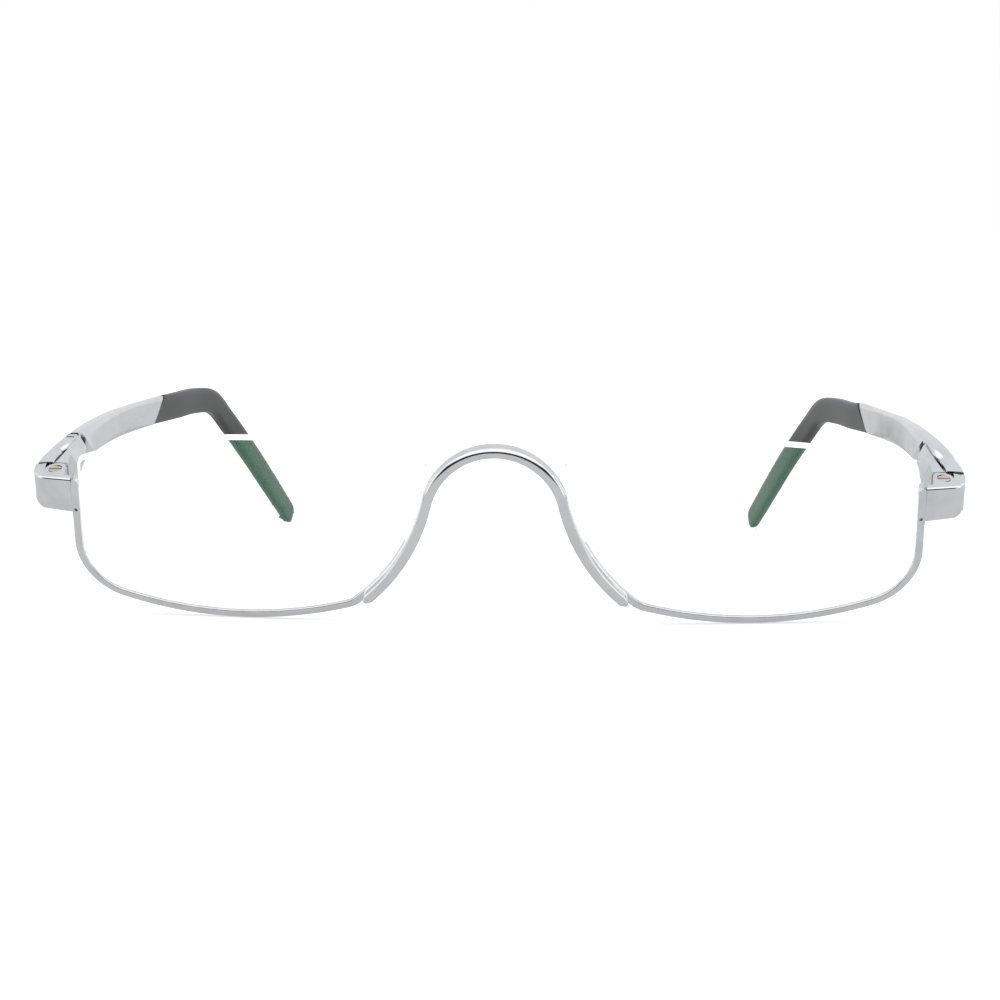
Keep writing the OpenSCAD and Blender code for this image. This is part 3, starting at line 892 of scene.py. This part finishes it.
@dataclass
class Studio:
    """White floor and world, with a darker room behind the camera.

    Reflections see the floor at mirror_floor and mirror_lift, and a dome whose bright parts start between the
    two directions of up, back and side, and pass between those of over from sky to the share rear of it.
    """

    floor_half: float = 3.0
    floor_colour: float = 0.8
    lift: float = 0.45
    mirror_floor: float = 0.2
    mirror_lift: float = 0.48
    room: float = 0.03
    sky: float = 1.4
    rear: float = 0.6
    tint: tuple[float, float, float] = (0.96, 0.98, 1.0)
    up: Pair = (0.42, 0.58)
    back: Pair = (-0.55, -0.15)
    side: Pair = (0.75, 0.95)
    side_level: float = 0.5
    over: Pair = (-0.15, 0.3)
    lamps: tuple[tuple[str, tuple[float, float, float], float, float], ...] = (
        ("lamp_left", (-0.75, -0.15, 0.75), 0.6, 0.5), ("lamp_right", (0.75, -0.05, 0.8), 0.6, 0.45),
        ("lamp_top", (0.0, 0.25, 1.0), 0.8, 0.7))

    def build(self) -> None:
        """Makes the floor, the world and the lamps."""
        self.floor()
        self.world()
        for lamp in self.lamps:
            self.lamp(*lamp)

    @staticmethod
    def seen(graph: Graph) -> Socket:
        """1 for what the camera sees, directly or through a lens, and 0 for reflections and light.

        Args:
            graph: the graph of the floor or the world.

        Returns:
            The value.
        """
        paths = graph.add("LightPath")
        return graph.math("MAXIMUM", paths.outputs["Is Camera Ray"], paths.outputs["Is Transmission Ray"])

    def floor(self) -> None:
        """A plain white floor that keeps the shadow of what stands on it."""
        half = self.floor_half
        mesh = bpy.data.meshes.new("floor")
        corners = [(-half, -half, 0), (half, -half, 0), (half, half, 0), (-half, half, 0)]
        mesh.from_pydata(corners, [], [(0, 1, 2, 3)])
        floor = bpy.data.objects.new("floor", mesh)
        bpy.context.scene.collection.objects.link(floor)
        material, graph, shader = new_material("floor_white")
        shader.inputs["Roughness"].default_value = 0.6
        shader.inputs["Specular IOR Level"].default_value = 0.0
        shader.inputs["Emission Color"].default_value = (1.0, 1.0, 1.0, 1.0)
        paths = graph.add("LightPath")
        lifted = graph.math("MULTIPLY", self.seen(graph), self.lift)
        mirrored = graph.math("MULTIPLY", paths.outputs["Is Glossy Ray"], self.mirror_lift)
        graph.link(graph.math("ADD", lifted, mirrored), shader.inputs["Emission Strength"])
        plain, dim = (self.floor_colour,) * 3, (self.mirror_floor,) * 3
        graph.link(mix_colours(graph, paths.outputs["Is Glossy Ray"], plain, dim), shader.inputs["Base Color"])
        mesh.materials.append(material)

    def world(self) -> None:
        """White to the camera; a dome in reflections: bright above and beyond, dark behind the camera."""
        world = bpy.data.worlds.new("studio")
        bpy.context.scene.world = world
        world.use_nodes = True
        graph = Graph(world.node_tree)
        direction = graph.add("TexCoord").outputs["Generated"]
        parts = graph.add("SeparateXYZ")
        graph.link(direction, parts.inputs[0])
        up = graph.span(parts.outputs["Z"], *self.up)
        back = graph.span(parts.outputs["Y"], *self.back)
        side = graph.span(graph.math("ABSOLUTE", parts.outputs["X"]), *self.side, 0.0, self.side_level)
        dome = graph.math("MAXIMUM", graph.math("MAXIMUM", up, back), side)
        over = graph.span(parts.outputs["Y"], *self.over, 1.0, self.rear)
        level = graph.math("MULTIPLY_ADD", graph.math("MULTIPLY", dome, over), self.sky - self.room)
        level.node.inputs[2].default_value = self.room
        studio, white = graph.add("Background"), graph.add("Background")
        studio.inputs[0].default_value = (*self.tint, 1.0)
        graph.link(level, studio.inputs[1])
        mixed, output = graph.add("MixShader"), graph.add("OutputWorld")
        white.inputs[0].default_value = (1.0, 1.0, 1.0, 1.0)
        white.inputs[1].default_value = 1.0
        graph.link(self.seen(graph), mixed.inputs[0])
        graph.link(studio.outputs[0], mixed.inputs[1])
        graph.link(white.outputs[0], mixed.inputs[2])
        graph.link(mixed.outputs[0], output.inputs[0])

    def lamp(self, name: str, place: tuple[float, float, float], size: float, power: float) -> None:
        """A soft square lamp aimed at the glasses.

        Args:
            name: the lamp's name.
            place: where it stands, in metres.
            size: its side.
            power: its power in watts.
        """
        data = bpy.data.lights.new(name, "AREA")
        data.size = size
        data.energy = power
        lamp = bpy.data.objects.new(name, data)
        bpy.context.scene.collection.objects.link(lamp)
        lamp.location = place
        lamp.visible_glossy = False
        lamp.rotation_euler = (-Vector(place)).to_track_quat("-Z", "Y").to_euler()


@dataclass(frozen=True)
class Viewpoint:
    """Where the photograph was taken from: a point on the front and the way to it."""

    target: tuple[float, float, float] = (0.416, -61.0, 18.09)
    distance: float = 500.0
    elevation: float = 5.7
    turn: float = 1.81
    roll: float = 0.467
    lens: float = 121.97
    sensor: float = 36.0
    nearest: float = 0.01

    def build(self) -> None:
        """Makes the camera."""
        data = bpy.data.cameras.new("camera")
        data.lens = self.lens
        data.sensor_width = self.sensor
        data.sensor_fit = "HORIZONTAL"
        data.clip_start = self.nearest
        camera = bpy.data.objects.new("camera", data)
        bpy.context.scene.collection.objects.link(camera)
        e, a, r = (math.radians(v) for v in (self.elevation, self.turn, self.roll))
        ahead = Vector((-math.sin(a) * math.cos(e), math.cos(a) * math.cos(e), -math.sin(e)))
        right = Vector((math.cos(a), math.sin(a), 0.0))
        up = right.cross(ahead)
        x_axis = right * math.cos(r) + up * math.sin(r)
        y_axis = up * math.cos(r) - right * math.sin(r)
        matrix = Matrix((x_axis, y_axis, -ahead)).transposed().to_4x4()
        matrix.translation = (Vector(self.target) - self.distance * ahead) * MM
        camera.matrix_world = matrix
        bpy.context.scene.camera = camera


Station = tuple[float, ...]
Changes = tuple[tuple[int, float, float, float], ...]


@dataclass(frozen=True)
class TempleShape:
    """One temple as a smooth bar through stations, cut where the hinge arm enters it.

    A station is x, y, z, thickness, height, slant, squareness inside and outside, and lean of the inner side.
    X is counted from the hinge axis, Y from the middle of the spring box and Z from the temple's top line. The
    two temples are bent a little unevenly: uneven gives a station's number, how far its outer side and its top
    move, and how far all of it rises. Names that end in _s are lengths along the bar, counted in stations.

    What is cut out of the bar are plans in u and v from the hinge axis: the wing's, the neck's and the inner
    side's room, each between two heights and up to a slanted mouth. The tongue's slot and the spring's bore lie
    along the slide, and their ends are counted from the arm's shoulder.
    """

    front: Front
    box_y: float = -49.443
    top_z: float = 25.7979
    count: int = 72
    joint_v: float = 2.1
    arm_l: float = 12.3
    mouth_v: float = 13.4
    crest_v: float = 12.4
    mouth_tilt: float = 28.0
    wing: tuple[Pair, ...] = ((-30, 0), (0.29, 0), (0.29, 1.9), (-3.03, 16.3), (-30, 16.3))
    wing_w: Pair = (-7.0, 7.0)
    neck: tuple[Pair, ...] = ((-30, 0), (1.1, 0), (0.95, 2.1), (-0.05, 6), (-0.05, 16.3), (-30, 16.3))
    neck_w: Pair = (-1.35, 1.75)
    inner: tuple[Pair, ...] = ((-30, 0), (-2.3, 0), (-2.3, 16.3), (-30, 16.3))
    tongue_half: Pair = (0.6, 1.2)
    tongue_ends: Pair = (-2.8, 3.25)
    bore_r: float = 1.0
    bore_ends: Pair = (3.2, 14.0)
    slide_u: float = -1.0
    slide_station: int = 4
    slide_out: float = 0.15
    uneven: dict[Side, Changes] = field(default_factory=lambda: {
        Side.LEFT: ((0, -0.2, 0, 0), (1, -0.25, -0.1, 0), (2, -0.1, -0.05, 0), (3, -0.2, -0.05, 0),
                    (4, -0.1, 0, 0)),
        Side.RIGHT: ((2, 0.2, 0, 0.2), (3, 0.2, 0, 0.55), (4, 0, 0, 0.5), (5, 0, 0.1, 0.2), (6, 0, 0.1, -0.1),
                     (7, 0, 0.2, -0.35), (8, 0, 0.3, -0.5))})
    uneven_tip: dict[Side, Changes] = field(default_factory=lambda: {
        Side.LEFT: (),
        Side.RIGHT: ((0, 0, 0.3, -0.5), (1, 0, 0, -0.6), (2, 0, 0, -0.65), (3, 0, 0, -0.5), (4, 0, 0, -0.2))})
    metal: tuple[Station, ...] = (
        (1.8, -10.876, -7.289, 2.9, 5.5, 0, 0.22, 0.3, 0),
        (1.75, -6.797, -5.342, 2.95, 5.4, 0, 0.24, 0.36, 0),
        (0.7, -3.263, -3.829, 2.9, 4.95, 0, 0.28, 0.48, 0.08),
        (-0.62, 0, -1.991, 3.15, 4.4, 0, 0.3, 0.66, 0.16),
        (-2.0, 10.0, -0.6, 2.95, 4.3, 0, 0.32, 0.76, 0.12),
        (-3.0, 25.0, -0.1, 2.175, 4.4, 0, 0.36, 0.75, 0.08),
        (-3.85, 39.443, -0.15, 1.75, 4.5, 0, 0.4, 0.7, 0),
        (-4.8, 51.443, -0.2, 1.6, 4.5, 0.9, 0.42, 0.65, 0),
        (-6.1, 60.443, -0.1, 1.6, 4.5, 1.5, 0.45, 0.62, 0))
    sleeve: tuple[Station, ...] = (
        (-6.1, 60.443, -0.1, 1.6, 4.5, 1.5, 0.45, 0.62, 0),
        (-7.9, 68.943, 0, 1.95, 4.5, 0.6, 0.5, 0.6, 0),
        (-9.8, 78.443, 0.1, 2.15, 4.4, 0, 0.55, 0.6, 0),
        (-11.9, 86.943, -0.75, 2.15, 4.3, 0, 0.6, 0.6, 0),
        (-13.8, 93.943, -4.6, 2.0, 4.3, 0, 0.6, 0.65, 0),
        (-16.5, 102.243, -10.4, 1.95, 4.4, 0, 0.6, 0.75, 0),
        (-19.2, 111.343, -16.8, 1.95, 4.4, 0, 0.6, 0.85, 0),
        (-21.5, 120.043, -22.598, 1.9, 4.1, 0, 0.6, 0.85, 0),
        (-22.2, 122.393, -24.248, 1.8, 3.7, 0, 0.62, 0.8, 0))
    joint_s: dict[Side, float] = field(default_factory=lambda: {Side.LEFT: -0.27, Side.RIGHT: 0.0})
    end_s: float = 7.45
    end_l: float = 2.5
    end_steps: int = 12
    metal_steps: int = 150
    tip_steps: int = 130
    groove_s: float = 0.03
    groove: tuple[tuple[float, float, float], ...] = ((0.012, 0.14, 0), (0.008, 0.4, 0), (0, 0.4, 0.7))
    lip_s: float = 0.05
    lip: tuple[Pair, ...] = ((0.38, 0.3), (0.2, 0.32), (0.06, 0.42))
    metal_sharp: float = 28.0
    tip_sharp: float = 50.0

    @staticmethod
    def station(stations: list[Station], k: int) -> Station:
        """One station, or a straight continuation past either end.

        Args:
            stations: all of them.
            k: its number.

        Returns:
            The station.
        """
        last = len(stations) - 1
        if k < 0:
            return tuple(2 * p - q for p, q in zip(stations[0], stations[1]))
        if k > last:
            return tuple(2 * p - q for p, q in zip(stations[last], stations[last - 1]))
        return stations[k]

    def along(self, stations: list[Station], s: float) -> list[float]:
        """The smooth curve through the stations.

        Args:
            stations: what it runs through.
            s: place on it, in stations.

        Returns:
            The values of a station there.
        """
        i = math.floor(s)
        f = s - i
        found = []
        for a, b, c, d in zip(*(self.station(stations, k) for k in range(i - 1, i + 3))):
            found.append(b + f * (c - a) / 2 + f * f * (a - 2.5 * b + 2 * c - d / 2)
                         + f**3 * (1.5 * (b - c) + (d - a) / 2))
        return found

    def ring(self, stations: list[Station], s: float, inset: float = 0.0, ahead: float = 0.0,
             scale: float = 1.0) -> list[Vector]:
        """One section of the bar.

        Args:
            stations: the curve.
            s: place on it, in stations.
            inset: millimetres taken off all round.
            ahead: millimetres that the section is moved along the curve.
            scale: size of the section about its middle.

        Returns:
            Its points in the row frame.
        """
        x, y, z, thickness, height, slant, inside, outside, lean = self.along(stations, s)
        near = 0.02
        heading = Vector(self.along(stations, s + near)[:3]) - Vector(self.along(stations, s - near)[:3])
        heading.normalize()
        across = heading.cross(Vector((0, 0, 1))).normalized()
        up = across.cross(heading)
        middle = Vector((x, y, z)) + Vector((self.front.hinge[0], self.box_y, self.top_z)) + ahead * heading
        points = []
        for j in range(self.count):
            a = 2 * math.pi * j / self.count
            c, v = math.cos(a), math.sin(a)
            k = inside if c < 0 else outside
            h = (height / 2 - inset) * math.copysign(abs(v) ** k, v)
            e = (thickness / 2 - inset) * math.copysign(abs(c) ** k, c) + (lean * h if c < 0 else 0)
            points.append((middle + scale * (e * across + h * up) + slant * h * scale * heading) * MM)
        return points

    def rows(self, stations: list[Station], start: float, end: float, count: int) -> list[list[Vector]]:
        """Sections at even steps from start to end."""
        return [self.ring(stations, start + (end - start) * i / count) for i in range(count + 1)]

    @staticmethod
    def bent(stations: tuple[Station, ...], changes: Changes) -> list[Station]:
        """The stations with one side's own changes.

        Args:
            stations: what both sides share.
            changes: number, outward move, move of the top and rise of each station that differs.

        Returns:
            The side's own stations.
        """
        found = list(stations)
        for number, out, top, rise in changes:
            x, y, z, thickness, height, *rest = found[number]
            found[number] = (x + out / 2, y, z + (top / 2 + rise), thickness + out, height + top, *rest)
        return found

    def metal_bar(self, side: Side) -> bpy.types.Object:
        """The metal part with the cuts for the arm, and a small chamfer and a stub where the tip begins.

        Args:
            side: which temple.

        Returns:
            The new object.
        """
        bent = self.bent(self.metal, self.uneven[side])
        last = len(bent) - 1 + self.joint_s[side]
        rows = self.rows(bent, 0.0, last - self.groove_s, self.metal_steps)
        rows += [self.ring(bent, last - before, inset, ahead) for before, inset, ahead in self.groove]
        bar = skin(f"temple_bar_{side.value}", rows, side)
        carve(bar, self.cutters(side))
        smooth(bar, self.metal_sharp)
        return bar

    def prism(self, side: Side, plan: tuple[Pair, ...], low: float, high: float,
              mouth: float = 0.0) -> bpy.types.Object:
        """An upright prism in the hinge's own place.

        Args:
            side: which temple.
            plan: u and v of its corners, from the hinge axis.
            low: its lowest w.
            high: its highest w.
            mouth: ends it at a slanted mouth this far behind the hinge axis, if not 0.

        Returns:
            The cutter.
        """
        u0, v0, w0 = self.front.hinge
        rows = [[self.front.place(u0 + u, v0 + v, w0 + w) for u, v in plan] for w in (low, high)]
        cutter = skin("cutter", rows, side)
        if mouth:
            tilt = math.radians(self.mouth_tilt)
            at = self.front.place(u0, v0 + mouth, w0)
            ahead = self.front.place(u0, v0 + mouth + math.cos(tilt), w0 + math.sin(tilt)) - at
            work = bmesh.new()
            work.from_mesh(cutter.data)
            cut = bmesh.ops.bisect_plane(work, geom=work.verts[:] + work.edges[:] + work.faces[:], plane_co=at,
                                         plane_no=ahead.normalized(), clear_outer=True)
            edges = [e for e in cut["geom_cut"] if isinstance(e, bmesh.types.BMEdge)]
            bmesh.ops.contextual_create(work, geom=edges)
            bmesh.ops.recalc_face_normals(work, faces=work.faces)
            work.to_mesh(cutter.data)
            work.free()
        return cutter

    def along_slide(self, side: Side, half: tuple[float, float], start: float, end: float,
                    count: int) -> bpy.types.Object:
        """A bar along the line that the arm slides on: round with many corners, square with four.

        Args:
            side: which temple.
            half: half its width and half its height.
            start: where it begins, from the arm's shoulder.
            end: where it ends.
            count: its corners.

        Returns:
            The cutter.
        """
        u0, v0, w0 = self.front.hinge
        first = self.front.place(u0 + self.slide_u, v0 + self.arm_l, w0)
        x, y, z = self.metal[self.slide_station][:3]
        last = Vector((u0 + x + self.slide_out, self.box_y + y, self.top_z + z)) * MM
        ahead = (last - first).normalized()
        across = ahead.cross(Vector((0, 0, 1))).normalized()
        up = across.cross(ahead)
        turns = [2 * math.pi * (i + 0.5) / count for i in range(count)]
        size = math.sqrt(2) if count == 4 else 1.0
        wide, high = size * half[0] * across, size * half[1] * up
        rows = [[first + (d * ahead + math.cos(t) * wide + math.sin(t) * high) * MM for t in turns]
                for d in (start, end)]
        return skin("cutter", rows, side)

    def cutters(self, side: Side) -> list[bpy.types.Object]:
        """What is taken out of the bar: all before the joint, and the room of the arm, tongue and spring.

        Args:
            side: which temple.

        Returns:
            The cutters.
        """
        start, far = self.joint_v + 0.04, 40.0
        block = ((-far, -far), (far, -far), (far, start), (-far, start))
        return [self.prism(side, block, -30.0, 30.0), self.prism(side, self.wing, *self.wing_w, self.crest_v),
                self.prism(side, self.inner, *self.wing_w, self.mouth_v),
                self.prism(side, self.neck, *self.neck_w, self.mouth_v),
                self.along_slide(side, self.tongue_half, *self.tongue_ends, 4),
                self.along_slide(side, (self.bore_r, self.bore_r), *self.bore_ends, 32)]

    def tip_sleeve(self, side: Side) -> bpy.types.Object:
        """The plastic tip with a soft front edge and a round end.

        Args:
            side: which temple.

        Returns:
            The new object.
        """
        start, bent = self.joint_s[side], self.bent(self.sleeve, self.uneven_tip[side])
        rows = [self.ring(bent, start, inset, ahead) for inset, ahead in self.lip]
        rows += self.rows(bent, start + self.lip_s, self.end_s, self.tip_steps)
        turns = [math.radians(90 * k / (self.end_steps + 0.4)) for k in range(1, self.end_steps + 1)]
        rows += [self.ring(bent, self.end_s, 0.0, self.end_l * math.sin(t), math.cos(t)) for t in turns]
        piece = skin(f"tip_sleeve_{side.value}", rows, side)
        smooth(piece, self.tip_sharp)
        return piece


@dataclass(frozen=True)
class EndPieceEdges:
    """The rounding of an end piece: its upper and lower front edges, along the curve to the side.

    The front face passes v front_v at u front_u and is raked from there to side_u. Outwards of that, the
    rounding ends at v side_v. What lies within top_in of the upper face, or low_in of the lower one, is on
    that edge.
    """

    front: Front
    radius: float = 0.5
    segments: int = 5
    front_u: float = 62.99
    front_v: float = 7.04
    rake: float = 0.3713
    side_u: float = 67.1
    side_v: float = 10.1
    top_in: float = 0.85
    low_in: float = 0.3
    weld: float = 1e-6
    flat: float = 1.0

    def before(self, u: float, v: float) -> bool:
        """Whether a place is on the front or on its curve to the side.

        Args:
            u: how far it is from the middle.
            v: how far back it is.

        Returns:
            True if it is.
        """
        if abs(u) >= self.side_u:
            return v < self.side_v
        return v < self.front_v + self.rake * (abs(u) - self.front_u)

    def soften(self, piece: bpy.types.Object) -> None:
        """Adds the roundings to an end piece.

        Args:
            piece: the end piece.
        """
        weld = piece.modifiers.new("weld", "WELD")
        weld.merge_threshold = self.weld
        flat = piece.modifiers.new("flat", "DECIMATE")
        flat.decimate_type, flat.angle_limit = "DISSOLVE", math.radians(self.flat)
        top, low = piece.vertex_groups.new(name="top_edge"), piece.vertex_groups.new(name="low_edge")
        for vertex in piece.data.vertices:
            u, v, w = self.front.local(vertex.co)
            if self.before(u, v) and w > self.front.end_top - self.top_in:
                top.add([vertex.index], 1.0, "REPLACE")
            elif self.before(u, v) and w < self.front.end_low + self.low_in:
                low.add([vertex.index], 1.0, "REPLACE")
        for group in (top, low):
            bevel = piece.modifiers.new("round", "BEVEL")
            bevel.width = self.radius * MM
            bevel.segments = self.segments
            bevel.limit_method, bevel.vertex_group = "VGROUP", group.name
            bevel.use_clamp_overlap = False
            bevel.harden_normals = True


def finishes() -> dict[str, bpy.types.Material]:
    """Makes the material of every kind of node, and that of the ground lens edge, which carries a painted glow.

    Returns:
        The materials by the node's name without its side.
    """
    handling_group()
    grain_group()
    silver = MetalFinish("silver_plate", (0.76, 0.77, 0.78), (0.7, 0.71, 0.72)).make()
    satin = MetalFinish("satin_plate", (0.77, 0.78, 0.795), (0.72, 0.73, 0.745), 0.15, 0.05, relief=0.4).make()
    return {"bridge": silver, "rim": silver, "end_piece": silver, "hinge_arm": silver, "temple": satin,
            "hinge_screw": MetalFinish("hinge_metal", (0.78, 0.7, 0.62), (0.66, 0.56, 0.48)).make(),
            "flex_spring": MetalFinish("spring_wire", (0.5, 0.5, 0.52), (0.42, 0.42, 0.44), 0.25).make(),
            "spring_bush": MetalFinish("bush_metal", (0.62, 0.53, 0.38), (0.5, 0.42, 0.3), 0.22).make(),
            "temple_tip": PlasticFinish("tip_grey", (0.014, 0.014, 0.0145), (0.024, 0.024, 0.025)).make(),
            "lens_line": ClearFinish("clear_line", coating=(1.0, 1.0, 1.0), ior=1.5).make(),
            # The ground lens edge glows with painted light.
            "lens": ClearFinish("lens_resin").make(), "glowing_ground_edge": GroundGlowFinish("glowing_ground_edge").make()}


def dress(nodes: dict[str, bpy.types.Object], front: Front, looks: dict[str, bpy.types.Material]) -> None:
    """Gives every CAD node its material, and the end pieces their round edges.

    Args:
        nodes: the CAD nodes by name.
        front: the sizes of the front.
        looks: the materials by kind of node.
    """
    edges = EndPieceEdges(front)
    for name, piece in nodes.items():
        kind = name.removesuffix("_left").removesuffix("_right")
        piece.data.materials.clear()
        piece.data.materials.append(looks[kind])
        if kind == "end_piece":
            edges.soften(piece)
        LOG.info("dressed %s in %s", name, looks[kind].name)


def settle(piece: bpy.types.Object, node: str, body: str, slot: str, *materials: bpy.types.Material) -> None:
    """Puts a finished piece in the place of a CAD node.

    Args:
        piece: the new object.
        node: the CAD node that it stands for.
        body: the body that it rides on.
        slot: the record's material slot; not used.
        materials: its materials in order.
    """
    for material in materials:
        piece.data.materials.append(material)
    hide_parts(node)
    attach(piece, body)
    LOG.info("built %s for %s", piece.name, node)


def build_half(side: Side, front: Front, outline: Outline, looks: dict[str, bpy.types.Material]) -> None:
    """Builds the pieces of one half that replace CAD nodes.

    Args:
        side: which half.
        front: the sizes of the front.
        outline: the lens edge.
        looks: the materials by kind of node.
    """
    rim = RimShape(front).build(outline, side)
    settle(rim, f"rim_{side.value}", "front", "polished_metal", looks["rim"])
    lens = LensShape(front).build(outline, side)
    settle(lens, f"lens_{side.value}", "front", "lens_clear", looks["lens"], looks["glowing_ground_edge"])
    temple, body = TempleShape(front), f"temple_{side.value}"
    settle(temple.metal_bar(side), body, body, "polished_metal", looks["temple"])
    settle(temple.tip_sleeve(side), f"temple_tip_{side.value}", body, "dark_tip", looks["temple_tip"])


def main() -> None:
    """Builds the scene in order."""
    logging.basicConfig(level=logging.INFO, format="%(message)s")
    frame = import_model()
    bpy.context.scene.view_settings.view_transform = "Standard"
    front, outline, looks = Front(), Outline(), finishes()
    dress(frame["nodes"], front, looks)
    settle(BridgeShape(front).build(), "bridge", "front", "polished_metal", looks["bridge"])
    for side in Side:
        build_half(side, front, outline, looks)
    Studio().build()
    Viewpoint().build()


if __name__ == "__main__":
    main()
